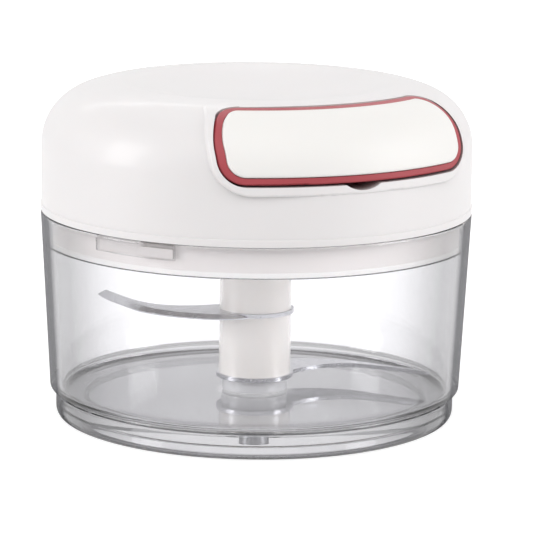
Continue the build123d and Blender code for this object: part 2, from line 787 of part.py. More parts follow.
def make_hub_core():
    """Blade unit's shaft with its drive socket above and the pin bore below."""
    core = disc(hub_radius, hub_top_z - hub_head_height, hub_top_z)
    core += disc(hub_shaft_radius, shaft_bottom_z, hub_top_z - hub_head_height)
    bar = Box(dog_length + 2 * socket_clearance, dog_thickness + 2 * socket_clearance, 2 * socket_depth)
    for turn in (-socket_play_deg, socket_play_deg):
        core -= Pos(0, 0, hub_top_z) * Rot(0, 0, turn) * bar
    return core - disc(pin_radius + pin_gap, shaft_bottom_z - overrun, pin_foot_z + pin_length + part_gap)


def blade_points(shares):
    """Points of the blade's outline from its table of shares."""
    return [(blade_length * along, blade_sweep * across) for along, across in shares]


def grinding_cut(edge):
    """The wedge that is ground off above the cutting edge, run on past both ends."""
    first, last = edge @ 0, edge @ 1
    start = first - (edge % 0) * blade_bevel_width
    finish = last + (edge % 1) * blade_bevel_width
    path = Wire([Line(start, first), edge, Line(last, finish)])
    half = blade_thickness / 2
    inner = Vector(half, -blade_bevel_width)
    fall = Vector(half - blade_thickness * blade_bevel_share, 0) - inner
    above, beyond = inner - fall, inner + 2 * fall
    wedge = Polyline(above, beyond, (above.X, beyond.Y), close=True)
    section = Plane(origin=start, x_dir=(0, 0, 1), z_dir=edge % 0) * make_face(wedge)
    return sweep(section, path=path)


def make_blade(height, azimuth):
    """A ring on the shaft and one curved blade, ground along its cutting edge."""
    back = Spline(*blade_points(blade_back_shares))
    edge = Spline(*blade_points(blade_edge_shares))
    tip = Line(back @ 1, edge @ 0)
    root = Line(edge @ 1, back @ 0)
    half = blade_thickness / 2
    blade = Pos(0, 0, -half) * extrude(make_face([back, tip, edge, root]), amount=blade_thickness)
    blade -= grinding_cut(edge)
    blade += disc(hub_radius + blade_ring_proud, -half, half)
    blade -= disc(hub_shaft_radius + hub_shaft_gap, -overrun, overrun)
    return Pos(0, 0, height) * Rot(0, 0, azimuth) * blade


def make_cord_knot():
    """The knot that holds the cord's end in the handle."""
    knot = Pos(0, knot_y, cord_z) * Sphere(knot_radius)
    return knot - rod_y(cord_radius + running_gap, handle_back_y, knot_y, 0, cord_z)


def make_sleeve(radius, bottom, top):
    """White sleeve over the shaft."""
    return tube(radius, hub_shaft_radius + hub_shaft_gap, bottom, top)


def make_washer(outer, bore, bottom):
    """A flat washer."""
    return tube(outer, bore + running_gap, bottom, bottom + washer_thickness)


blade_half = blade_thickness / 2
collar_top_z = lower_blade_z - blade_half
axle_washer_z = pocket_top_z - 2 * running_gap - washer_thickness

save(make_bowl(), "bowl")
save(disc(pin_radius - running_gap, pin_foot_z, pin_foot_z + pin_length), "pivot_pin")
save(tube(seal_outer_radius, seal_inner_radius, ledge_z, skirt_bottom_z), "seal_ring")
save(make_lid_base(), "lid_base")
save(make_lid_shell(), "lid_shell")
save(make_handle_base(), "handle_base")
save(make_handle_cover(), "handle_cover")
save(make_handle_screws(), "handle_screws")
save(make_spool(), "cord_spool")
save(make_axle(), "spool_axle")
save(make_axle_screw(), "axle_screw")
save(make_washer(top_washer_radius, axle_radius, spool_top_z + running_gap), "top_washer")
save(make_washer(retaining_washer_radius, axle_screw_radius, axle_washer_z), "retaining_washer")
save(
    make_screws(case_screw_length, case_screw_radius, case_screw_head_radius, case_screw_head_height,
                case_screw_circle, case_screw_azimuths, case_top_z + cover_plate_thickness, half_turn),
    "case_screws",
)
save(
    make_screws(lid_screw_length, lid_screw_radius, lid_screw_head_radius, lid_screw_head_height,
                lid_screw_circle, lid_screw_azimuths, plate_bottom_z, 0),
    "lid_screws",
)
save(make_drive_dog(), "drive_dog")
save(make_output_bush(), "output_bush")
save(make_spring_case(), "spring_case")
save(make_spring_cover(), "spring_cover")
save(make_recoil_spring(), "recoil_spring")
save(make_winding(), "pull_cord_winding")
save(make_lead(), "pull_cord_lead")
save(rod_y(cord_radius, cord_join_y, knot_y, 0, cord_z), "pull_cord_run")
save(make_cord_knot(), "cord_knot")
save(make_cord_guide(), "cord_guide")
save(make_hub_core(), "blade_shaft")
save(make_blade(upper_blade_z, upper_blade_azimuth), "upper_blade")
save(make_blade(lower_blade_z, upper_blade_azimuth + lower_blade_turn), "lower_blade")
save(make_sleeve(hub_radius, upper_blade_z + blade_half, hub_top_z - hub_head_height), "upper_sleeve")
save(make_sleeve(hub_radius, lower_blade_z + blade_half, upper_blade_z - blade_half), "lower_sleeve")
save(make_sleeve(foot_collar_radius, foot_collar_bottom_z, collar_top_z), "foot_collar")
print("winding gap", round(winding_gap(), 2))
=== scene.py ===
"""Looks of the pull-cord garlic chopper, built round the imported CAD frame. Metres, +Z up.

The handle pulls along -Y. Sizes that repeat the CAD are written in millimetres and scaled once.
"""

from math import atan2, cos, pi, radians, sin, sqrt

import bmesh
import bpy
from mathutils import Matrix, Vector


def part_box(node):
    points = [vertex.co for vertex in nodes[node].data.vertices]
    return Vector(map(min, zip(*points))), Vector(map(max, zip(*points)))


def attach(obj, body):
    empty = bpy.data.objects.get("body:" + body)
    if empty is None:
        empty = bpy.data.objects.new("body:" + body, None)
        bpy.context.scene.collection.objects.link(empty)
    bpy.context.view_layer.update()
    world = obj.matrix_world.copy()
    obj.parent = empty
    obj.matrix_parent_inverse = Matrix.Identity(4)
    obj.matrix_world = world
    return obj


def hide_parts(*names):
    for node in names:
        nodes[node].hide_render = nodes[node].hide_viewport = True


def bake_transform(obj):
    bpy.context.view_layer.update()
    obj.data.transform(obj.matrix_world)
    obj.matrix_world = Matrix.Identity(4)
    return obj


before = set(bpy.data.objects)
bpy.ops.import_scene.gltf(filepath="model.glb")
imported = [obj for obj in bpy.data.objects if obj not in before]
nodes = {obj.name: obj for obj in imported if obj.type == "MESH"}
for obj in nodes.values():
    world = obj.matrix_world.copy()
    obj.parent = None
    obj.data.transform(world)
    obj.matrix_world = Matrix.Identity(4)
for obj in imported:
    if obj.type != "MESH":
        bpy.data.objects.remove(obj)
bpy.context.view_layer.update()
MM = 0.001


# Camera, fitted to the photograph's rim, foot and crest outlines; pixels, millimetres and radians

FIT_TURN = radians(-27.9)
CAMERA_FOCAL_PX, CAMERA_DISTANCE, CAMERA_HEIGHT = 3112.0, 600.0, 150.1
CAMERA_PITCH, CAMERA_ROLL, CAMERA_YAW = 0.2031, 0.0128, 0.008
FRAME_PX, SENSOR = 560, 36.0


def make_camera():
    turn = Matrix.Rotation(FIT_TURN, 3, "Z")
    right = Vector((cos(CAMERA_YAW), -sin(CAMERA_YAW), 0))
    level = Vector((sin(CAMERA_YAW), cos(CAMERA_YAW), 0))
    forward = level * cos(CAMERA_PITCH) - Vector((0, 0, sin(CAMERA_PITCH)))
    up = level * sin(CAMERA_PITCH) + Vector((0, 0, cos(CAMERA_PITCH)))
    across = right * cos(CAMERA_ROLL) + up * sin(CAMERA_ROLL)
    above = up * cos(CAMERA_ROLL) - right * sin(CAMERA_ROLL)
    axes = [turn @ across, turn @ above, turn @ -forward]
    place = turn @ Vector((0, -CAMERA_DISTANCE, CAMERA_HEIGHT)) * MM
    data = bpy.data.cameras.new("camera")
    data.sensor_width = SENSOR
    data.lens = CAMERA_FOCAL_PX * SENSOR / FRAME_PX
    data.clip_start, data.clip_end = 0.01, 20
    camera = bpy.data.objects.new("camera", data)
    camera.matrix_world = Matrix(
        [[axes[0][i], axes[1][i], axes[2][i], place[i]] for i in range(3)] + [[0, 0, 0, 1]]
    )
    bpy.context.scene.collection.objects.link(camera)
    bpy.context.scene.camera = camera


# Materials

# Sockets of a Mix node for colours
MIX_FACTOR, MIX_FIRST, MIX_SECOND, MIX_RESULT = 0, 6, 7, 2

# Moulded plastic
DRIFT_SCALE, PATCH_SCALE, GRAIN_SCALE, GRAIN_HEIGHT = 45, 130, 3600.0, 0.00002
COAT_ROUGHNESS = 0.14
SOFT_RADIUS, SOFT_SCALE = (0.8, 0.6, 0.5), 0.0012
# Painted shade in narrow grooves: ambient occlusion darkens the shell's colour
GROOVE_SAMPLES, GROOVE_REACH, GROOVE_SHADE_TONE = 8, 2.8, 0.62
GROOVE_START, GROOVE_END = 0.4, 0.95

# Steel
CLOUD_SCALE, CLOUD_SHARE, CLOUD_TONE, STREAK_HEIGHT = 90, 0.35, 0.9, 0.00003

# Clear plastic: glass values, then painted shade by angle of view, height and radius in millimetres
CLEAR_IOR, CLEAR_TONE, THROUGH_TINT = 1.5, 0.98, (0.97, 0.97, 0.972)
GLOSS_SCALE, POLISHED, CUT_GLOSS = 160, (0.008, 0.02), (0.1, 0.14)
FLOW_SCALE, FLOW_STRENGTH, FLOW_HEIGHT = 38, 0.03, 0.0004
CUT_SCALE, CUT_SHARES = 90, (0.7, 0.8)
# Painted shade on walls seen edge on, over the angle of view, with a slight blue
EDGE_SHADE_TONES = ((0.1, 0.97), (0.3, 0.68), (0.42, 0.42), (0.54, 0.26), (0.68, 0.24), (0.78, 0.38))
EDGE_SHADE_TINT = (1.0, 0.995, 1.025)
EDGE_SHADE_THROUGH, EDGE_SHARE, EDGE_START, EDGE_END = (0.4, 0.4, 0.41), 0.9, 0.68, 0.76
WALL_MIDDLE, FOOT_MIDDLE, SURFACE_FADE = 40.1, 38.7, 0.1
# Painted shade in the foot: greyer below its top, darker still in rings at the step and the base
FOOT_TOP, FOOT_FADE, FOOT_SHADE, FOOT_SHADE_FADE = 5.4, 0.3, 0.7, 0.6
HUB_INNER, HUB_OUTER = 4, 8
STEP_LOW, STEP_HIGH, STEP_SHADE = 5.0, 6.0, 0.25
BASE_LOW, BASE_HIGH, BASE_RADIUS, BASE_SHADE = -1.0, 1.4, 37.0, 0.42
RING_OUTER_FADE, RING_INNER_FADE = 0.2, 0.1

# Milky plastic
MILKY_DARK, MILKY_PALE, MILKY_THROUGH = (226, 226, 228), (234, 234, 235), (0.85, 0.85, 0.86)

# Braided cord
BRAID_SCALE, BRAID_BEND, STRAND_SCALE, BRAID_HEIGHT = 900, 1.5, 2600, 0.00012


class Nodes:
    """A node material with short ways to add noise, ramps and bumps."""

    def __init__(self, name):
        self.material = bpy.data.materials.new(name)
        self.material.use_nodes = True
        self.tree = self.material.node_tree
        self.tree.nodes.clear()
        self.output = self.add("ShaderNodeOutputMaterial")
        self.shader = self.add("ShaderNodeBsdfPrincipled")
        self.link(self.shader.outputs[0], self.output.inputs["Surface"])
        self.coords = self.add("ShaderNodeTexCoord").outputs["Object"]

    def add(self, kind, **values):
        node = self.tree.nodes.new(kind)
        for key, value in values.items():
            setattr(node, key, value)
        return node

    def link(self, start, end):
        self.tree.links.new(start, end)

    def set(self, **values):
        for key, value in values.items():
            self.shader.inputs[key.replace("_", " ")].default_value = value

    def stretched(self, scale):
        mapping = self.add("ShaderNodeMapping")
        self.link(self.coords, mapping.inputs["Vector"])
        mapping.inputs["Scale"].default_value = scale
        return mapping.outputs[0]

    def noise(self, scale, detail=3.0, vector=None, rough=0.5):
        node = self.add("ShaderNodeTexNoise")
        node.inputs["Scale"].default_value = scale
        node.inputs["Detail"].default_value = detail
        node.inputs["Roughness"].default_value = rough
        self.link(vector or self.coords, node.inputs["Vector"])
        return node.outputs["Fac"]

    def spread(self, value, low, high, start=0.3, end=0.7):
        node = self.add("ShaderNodeMapRange")
        self.link(value, node.inputs["Value"])
        for key, number in (("From Min", start), ("From Max", end), ("To Min", low), ("To Max", high)):
            node.inputs[key].default_value = number
        return node.outputs[0]

    def ramp(self, value, stops):
        node = self.add("ShaderNodeValToRGB")
        ramp = node.color_ramp
        while len(ramp.elements) < len(stops):
            ramp.elements.new(0.5)
        for element, (place, colour) in zip(ramp.elements, stops):
            element.position = place
            element.color = (*colour, 1)
        self.link(value, node.inputs[0])
        return node.outputs[0]

    def mix(self, factor, first, second, kind="MIX"):
        node = self.add("ShaderNodeMix", data_type="RGBA", blend_type=kind)
        for place, value in ((MIX_FACTOR, factor), (MIX_FIRST, first), (MIX_SECOND, second)):
            if isinstance(value, bpy.types.NodeSocket):
                self.link(value, node.inputs[place])
            else:
                node.inputs[place].default_value = value if place == MIX_FACTOR else (*value, 1)
        return node.outputs[MIX_RESULT]

    def math(self, operation, first, second):
        node = self.add("ShaderNodeMath", operation=operation)
        self.link(first, node.inputs[0])
        self.link(second, node.inputs[1])
        return node.outputs[0]

    def bump(self, height, strength, distance):
        node = self.add("ShaderNodeBump")
        node.inputs["Strength"].default_value = strength
        node.inputs["Distance"].default_value = distance
        self.link(height, node.inputs["Height"])
        return node.outputs[0]

    def radius(self):
        """Distance from the bowl's and lid's axis."""
        length = self.add("ShaderNodeVectorMath", operation="LENGTH")
        self.link(self.stretched((1, 1, 0)), length.inputs[0])
        return length.outputs["Value"]

    def mix_clear(self, factor, tint, surface=None):
        """Mix a shader, the main one if none is given, with a tinted see-through one."""
        through = self.add("ShaderNodeBsdfTransparent")
        through.inputs["Color"].default_value = (*tint, 1)
        both = self.add("ShaderNodeMixShader")
        self.link(factor, both.inputs[0])
        self.link(surface or self.shader.outputs[0], both.inputs[1])
        self.link(through.outputs[0], both.inputs[2])
        self.link(both.outputs[0], self.output.inputs["Surface"])
        return both.outputs[0]

    def pass_shadow_rays(self, tint, surface=None):
        """Let light through to what stands behind, as a clear wall does."""
        path = self.add("ShaderNodeLightPath")
        self.mix_clear(path.outputs["Is Shadow Ray"], tint, surface)


def srgb(red, green, blue):
    """A linear colour from screen values of 0 to 255."""
    def line(value):
        value /= 255
        return value / 12.92 if value <= 0.04045 else ((value + 0.055) / 1.055) ** 2.4
    return (line(red), line(green), line(blue))


def shade(colour, factor):
    return tuple(min(1.0, value * factor) for value in colour)


def painted_groove_shade(m):
    """Painted shade: a darker tone where neighbouring surfaces are close, as in the gap round the handle."""
    groove = m.add("ShaderNodeAmbientOcclusion", samples=GROOVE_SAMPLES)
    groove.inputs["Distance"].default_value = GROOVE_REACH * MM
    return m.spread(groove.outputs["AO"], GROOVE_SHADE_TONE, 1.0, GROOVE_START, GROOVE_END)


def moulded(name, colour, rough, vary=0.02, bump=0.03, coat=0.0, soft=0.0, tone=None):
    """Moulded plastic: slow colour drift, fine grain in the bump, uneven gloss."""
    m = Nodes(name)
    drift = m.noise(DRIFT_SCALE, 2)
    tones = [(0.35, shade(colour, 1 - vary)), (0.65, shade(colour, 1 + vary))]
    base = m.ramp(drift, tones)
    # A tone, where given, multiplies the colour; the shell's is a painted shade in its grooves
    m.link(m.mix(1.0, base, tone(m), "MULTIPLY") if tone else base, m.shader.inputs["Base Color"])
    m.link(m.spread(m.noise(PATCH_SCALE, 1), rough * 0.95, rough * 1.05), m.shader.inputs["Roughness"])
    m.link(m.bump(m.noise(GRAIN_SCALE, 1), bump, GRAIN_HEIGHT), m.shader.inputs["Normal"])
    m.set(Coat_Weight=coat, Coat_Roughness=COAT_ROUGHNESS)
    if soft:
        m.set(Subsurface_Weight=soft, Subsurface_Radius=SOFT_RADIUS, Subsurface_Scale=SOFT_SCALE)
    return m.material


def steel(name, colour, rough, scale=(300, 4000, 4000), bump=0.12, metal=1.0):
    """Drawn or ground steel: fine streaks in gloss and tone."""
    m = Nodes(name)
    streak = m.noise(1.0, 4, m.stretched(scale), 0.6)
    cloud = m.noise(CLOUD_SCALE, 3)
    tone = m.ramp(streak, [(0.3, shade(colour, 0.88)), (0.7, shade(colour, 1.08))])
    clouded = m.mix(m.spread(cloud, 0.0, CLOUD_SHARE), tone, shade(colour, CLOUD_TONE))
    m.link(clouded, m.shader.inputs["Base Color"])
    m.link(m.spread(streak, rough * 0.8, rough * 1.25), m.shader.inputs["Roughness"])
    m.link(m.bump(streak, bump, STREAK_HEIGHT), m.shader.inputs["Normal"])
    m.set(Metallic=metal)
    return m.material


def clear_base(name, gloss):
    """Clear plastic with uneven gloss and faint flow marks."""
    m = Nodes(name)
    m.set(IOR=CLEAR_IOR, Transmission_Weight=1.0, Base_Color=(CLEAR_TONE, CLEAR_TONE, CLEAR_TONE, 1))
    m.link(m.spread(m.noise(GLOSS_SCALE, 3), *gloss), m.shader.inputs["Roughness"])
    m.link(m.bump(m.noise(FLOW_SCALE, 2), FLOW_STRENGTH, FLOW_HEIGHT), m.shader.inputs["Normal"])
    return m


def clear_slots(name):
    """Faces of the bayonet slots: mostly see-through, so that their outlines stay faint."""
    m = clear_base(name, CUT_GLOSS)
    m.pass_shadow_rays(THROUGH_TINT, m.mix_clear(m.spread(m.noise(CUT_SCALE, 2), *CUT_SHARES), THROUGH_TINT))
    return m.material


def clear_bowl(name):
    """Polished clear bowl with painted shade: greyer where a wall is seen edge on and in the thick foot.

    A little of the edge grey is the longer path through the plastic, the rest is painted shade. The greyer
    tones of the foot are painted shade in rings, set by height and radius.
    """
    m = clear_base(name, POLISHED)
    parts = m.add("ShaderNodeSeparateXYZ")
    m.link(m.coords, parts.inputs[0])
    height, radius = parts.outputs["Z"], m.radius()

    def beyond(limit):
        return m.spread(radius, 0.0, 1.0, limit * MM, (limit + SURFACE_FADE) * MM)

    low = m.spread(height, 1.0, 0.0, FOOT_TOP * MM, (FOOT_TOP + FOOT_FADE) * MM)
    low = m.math("MULTIPLY", low, m.spread(radius, 0.0, 1.0, HUB_INNER * MM, HUB_OUTER * MM))
    outside = beyond(WALL_MIDDLE)
    shell = m.math("MAXIMUM", outside, m.math("MULTIPLY", low, beyond(FOOT_MIDDLE)))
    # Painted shade: darker where a wall is seen edge on
    weight = m.add("ShaderNodeLayerWeight")
    weight.inputs["Blend"].default_value = 0.5
    facing = weight.outputs["Facing"]
    tones = [(place, tuple(tone * part for part in EDGE_SHADE_TINT)) for place, tone in EDGE_SHADE_TONES]
    clear = (CLEAR_TONE, CLEAR_TONE, CLEAR_TONE)
    tinted = m.mix(m.math("MAXIMUM", outside, low), clear, m.ramp(facing, tones))
    # Painted shade: the foot is greyed below its top
    below = m.spread(height, 1.0, 0.0, (FOOT_TOP - FOOT_SHADE_FADE) * MM, FOOT_TOP * MM)
    foot = m.spread(m.math("MULTIPLY", low, below), 1.0, FOOT_SHADE, 0.0, 1.0)
    # Painted shade in rings at the foot's step and base
    rings = ((STEP_LOW, STEP_HIGH, FOOT_MIDDLE, STEP_SHADE),
             (BASE_LOW, BASE_HIGH, BASE_RADIUS, BASE_SHADE))
    for low_z, high_z, inner, tone in rings:
        over = m.spread(height, 0.0, 1.0, (low_z - RING_OUTER_FADE) * MM, (low_z + RING_INNER_FADE) * MM)
        under = m.spread(height, 1.0, 0.0, (high_z - RING_INNER_FADE) * MM, (high_z + RING_OUTER_FADE) * MM)
        away = m.spread(radius, 0.0, 1.0, inner * MM, (inner + RING_OUTER_FADE) * MM)
        ring = m.math("MULTIPLY", m.math("MULTIPLY", over, under), away)
        tinted = m.mix(ring, tinted, m.mix(1.0, tinted, (tone, tone, tone), "MULTIPLY"))
    m.link(m.mix(1.0, tinted, foot, "MULTIPLY"), m.shader.inputs["Base Color"])
    # More painted shade: a grey see-through share at the edges of the outer wall and foot
    share = m.math("MULTIPLY", shell, m.spread(facing, 0.0, EDGE_SHARE, EDGE_START, EDGE_END))
    m.pass_shadow_rays(THROUGH_TINT, m.mix_clear(share, EDGE_SHADE_THROUGH))
    return m.material


def cloudy_clear(name):
    """Milky clear plastic of the foot collar."""
    m = Nodes(name)
    base = m.ramp(m.noise(120, 2), [(0.3, srgb(*MILKY_DARK)), (0.7, srgb(*MILKY_PALE))])
    m.link(base, m.shader.inputs["Base Color"])
    m.link(m.spread(m.noise(500, 3), 0.14, 0.2), m.shader.inputs["Roughness"])
    m.link(m.bump(m.noise(1800, 2), 0.03, 0.00003), m.shader.inputs["Normal"])
    m.set(IOR=1.46, Transmission_Weight=0.45)
    m.pass_shadow_rays(MILKY_THROUGH)
    return m.material


def braid(name, colour):
    """Braided cord: crossed strands in colour and height."""
    m = Nodes(name)
    wave = m.add("ShaderNodeTexWave", wave_type="BANDS", bands_direction="DIAGONAL")
    wave.inputs["Scale"].default_value = BRAID_SCALE
    wave.inputs["Distortion"].default_value = BRAID_BEND
    m.link(m.coords, wave.inputs["Vector"])
    other = m.add("ShaderNodeTexVoronoi")
    other.inputs["Scale"].default_value = STRAND_SCALE
    m.link(m.coords, other.inputs["Vector"])
    cross = m.mix(0.5, wave.outputs["Color"], other.outputs["Distance"], "MULTIPLY")
    base = m.ramp(cross, [(0.1, shade(colour, 0.7)), (0.8, shade(colour, 1.1))])
    m.link(base, m.shader.inputs["Base Color"])
    m.link(m.bump(cross, 0.6, BRAID_HEIGHT), m.shader.inputs["Normal"])
    m.set(Roughness=0.75, Sheen_Weight=0.3)
    return m.material


looks = {
    "shell": moulded("shell_white", srgb(239, 236, 236), 0.46, 0.004, coat=0.24, soft=0.08, tone=painted_groove_shade),
    "tray": moulded("tray_red", srgb(173, 66, 74), 0.42, 0.05, bump=0.06),
    "cover": moulded("cover_white", srgb(248, 246, 243), 0.5, 0.003, bump=0.02, soft=0.05),
    "skirt": moulded("skirt_white", srgb(226, 221, 219), 0.34, 0.006, soft=0.05),
    "hub": moulded("hub_white", srgb(230, 226, 222), 0.2, 0.006, coat=1.0, soft=0.08),
    "seal": moulded("seal_rubber", srgb(240, 238, 236), 0.5, 0.015, bump=0.05, soft=0.2),
    "nylon": moulded("inner_nylon", srgb(222, 214, 196), 0.45, 0.04, bump=0.06, soft=0.1),
    "bush": moulded("bearing_plastic", srgb(92, 96, 104), 0.38, 0.06, bump=0.06),
    "blade": steel("blade_steel", srgb(190, 190, 194), 0.24),
    "fixing": steel("fixing_steel", srgb(206, 206, 209), 0.34, (900, 900, 5000), metal=0.5),
    "spring": steel("spring_steel", srgb(128, 132, 142), 0.34, (500, 500, 6000)),
    "foot": cloudy_clear("foot_clear"),
    "clear": clear_bowl("bowl_clear"),
    "clear_soft": clear_slots("bowl_slots"),
    "cord": braid("cord_braid", srgb(236, 233, 226)),
}

node_looks = {
    "lid_shell": "shell", "lid_base": "skirt", "handle_base": "tray", "handle_cover": "cover",
    "seal_ring": "seal", "blade_shaft": "hub", "upper_sleeve": "hub", "lower_sleeve": "hub",
    "foot_collar": "foot", "upper_blade": "blade", "lower_blade": "blade",
    "pivot_pin": "fixing", "spool_axle": "fixing", "axle_screw": "fixing", "retaining_washer": "fixing",
    "top_washer": "fixing", "case_screws": "fixing", "lid_screws": "fixing", "handle_screws": "fixing",
    "recoil_spring": "spring", "cord_spool": "nylon", "spring_case": "nylon", "spring_cover": "nylon",
    "drive_dog": "bush", "output_bush": "bush", "cord_guide": "bush",
}


# Mesh helpers

SEGMENTS, SECTOR_STEPS, ROUNDING_STEPS = 192, 12, 7
HOLD, HOLD_SHARE, REACH_SHARE = 0.3, 0.4, 0.49
SECTOR_BEVEL, BEVEL_STEPS, BEVEL_ANGLE = 0.08, 4, 60
BOWL_SMOOTH = 30
TINY = 1e-6


def new_object(name, mesh, look, body):
    obj = bpy.data.objects.new(name, mesh)
    bpy.context.scene.collection.objects.link(obj)
    mesh.materials.append(looks[look])
    if body:
        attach(obj, body)
    return obj


def smooth(mesh, angle):
    for polygon in mesh.polygons:
        polygon.use_smooth = True
    mesh.set_sharp_from_angle(angle=radians(angle))


def rounded(points):
    """A section's points with each corner (r, z, radius) rounded; the ends stay.

    A point close to each end of a rounding keeps the long walls flat when they are shaded smooth.
    """
    result = []
    for i, (r, z, radius) in enumerate(points):
        here = Vector((r, z))
        if i in (0, len(points) - 1) or radius == 0:
            result.append(here)
            continue
        before = Vector(points[i - 1][:2]) - here
        after = Vector(points[i + 1][:2]) - here
        half = before.angle(after) / 2
        reach = min(radius / max(TINY, abs(sin(half) / cos(half))),
                    REACH_SHARE * before.length, REACH_SHARE * after.length)
        start, end = here + before.normalized() * reach, here + after.normalized() * reach
        hold_before = min(HOLD, HOLD_SHARE * (before.length - reach))
        hold_after = min(HOLD, HOLD_SHARE * (after.length - reach))
        result.append(start + before.normalized() * hold_before)
        for step in range(ROUNDING_STEPS + 1):
            t = step / ROUNDING_STEPS
            result.append((1 - t) ** 2 * start + 2 * t * (1 - t) * here + t**2 * end)
        result.append(end + after.normalized() * hold_after)
    return result


def lathe(name, section):
    """A turned mesh from (radius, height) points in millimetres, from axis to axis."""
    bm = bmesh.new()
    turns = [2 * pi * k / SEGMENTS for k in range(SEGMENTS)]
    rings = []
    for point in section:
        radius, height = point.x * MM, point.y * MM
        if point.x < TINY:
            rings.append([bm.verts.new((0, 0, height))])
        else:
            rings.append([bm.verts.new((radius * cos(turn), radius * sin(turn), height)) for turn in turns])
    for low, high in zip(rings, rings[1:]):
        for k in range(SEGMENTS):
            after = (k + 1) % SEGMENTS
            if len(low) == 1:
                bm.faces.new((low[0], high[after], high[k]))
            elif len(high) == 1:
                bm.faces.new((low[k], low[after], high[0]))
            else:
                bm.faces.new((low[k], low[after], high[after], high[k]))
    bmesh.ops.recalc_face_normals(bm, faces=bm.faces)
    mesh = bpy.data.meshes.new(name)
    bm.to_mesh(mesh)
    bm.free()
    return mesh


def sector_mesh(name, inner, outer, low, high, middle, width):
    """A block between two radii, two heights and two azimuths, counted from -Y towards +X."""
    bm = bmesh.new()
    rows = []
    for k in range(SECTOR_STEPS + 1):
        turn = radians(middle - width / 2 + width * k / SECTOR_STEPS)
        rows.append([
            bm.verts.new((radius * MM * sin(turn), -radius * MM * cos(turn), height * MM))
            for radius, height in ((inner, low), (outer, low), (outer, high), (inner, high))
        ])
    for first, second in zip(rows, rows[1:]):
        for k in range(4):
            bm.faces.new((first[k], first[(k + 1) % 4], second[(k + 1) % 4], second[k]))
    bm.faces.new(rows[0])
    bm.faces.new(rows[-1][::-1])
    bmesh.ops.recalc_face_normals(bm, faces=bm.faces)
    corners = [edge for edge in bm.edges if edge.calc_face_angle() > radians(BEVEL_ANGLE)]
    bmesh.ops.bevel(bm, geom=corners, offset=SECTOR_BEVEL * MM, segments=BEVEL_STEPS, affect="EDGES",
                    profile=0.5)
    mesh = bpy.data.meshes.new(name)
    bm.to_mesh(mesh)
    bm.free()
    mesh.materials.append(looks["clear_soft"])
    return mesh


def cut(obj, cutters):
    """Subtract the cutter meshes from a mesh object and bake the result."""
    for mesh in cutters:
        tool = bpy.data.objects.new("cutter", mesh)
        bpy.context.scene.collection.objects.link(tool)
        modifier = obj.modifiers.new("cut", "BOOLEAN")
        modifier.operation, modifier.solver, modifier.object = "DIFFERENCE", "EXACT", tool
        modifier.material_mode = "TRANSFER"
        bpy.context.view_layer.update()
        depsgraph = bpy.context.evaluated_depsgraph_get()
        result = bpy.data.meshes.new_from_object(obj.evaluated_get(depsgraph))
        obj.modifiers.clear()
        old = obj.data
        obj.data = result
        bpy.data.meshes.remove(old)
        bpy.data.objects.remove(tool)


# Bowl

pin_low, pin_high = [Vector(corner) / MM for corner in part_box("pivot_pin")]
bowl_rim_radius, bowl_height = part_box("bowl")[1][0] / MM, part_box("bowl")[1][2] / MM
WALL_TAPER, FOOT_INSET, FOOT_EDGE = 1.8, 1.15, 1.8
FOOT_LAND, FOOT_DRAFT, FOOT_RECESS = 3.9, 0.5, 1.8
WALL, RIM_WIDTH, LEDGE_DROP, LEDGE_WIDTH = 2.3, 2.2, 6.0, 0.75
FLOOR_Z, BOSS_RADIUS, BOSS_HEIGHT, INNER_ROUND = 5.0, 3.6, 1.0, 2.6
SMALL_ROUND, EDGE_ROUND = 0.35, 0.5
LUG_AZIMUTHS = (-54.6, 65.4, 185.4)
SLOT_DROP, RUN_DROP, SLOT_DEPTH, SLOT_REACH, SLOT_OVERRUN = 3.2, 0.8, 0.95, 1.1, 5.0
SLOT_EASE, PIN_GRIP = 0.02, 0.04
ENTRY_WIDTH, RUN_WIDTH, RUN_OFFSET = 10.8, 25.0, 7.1


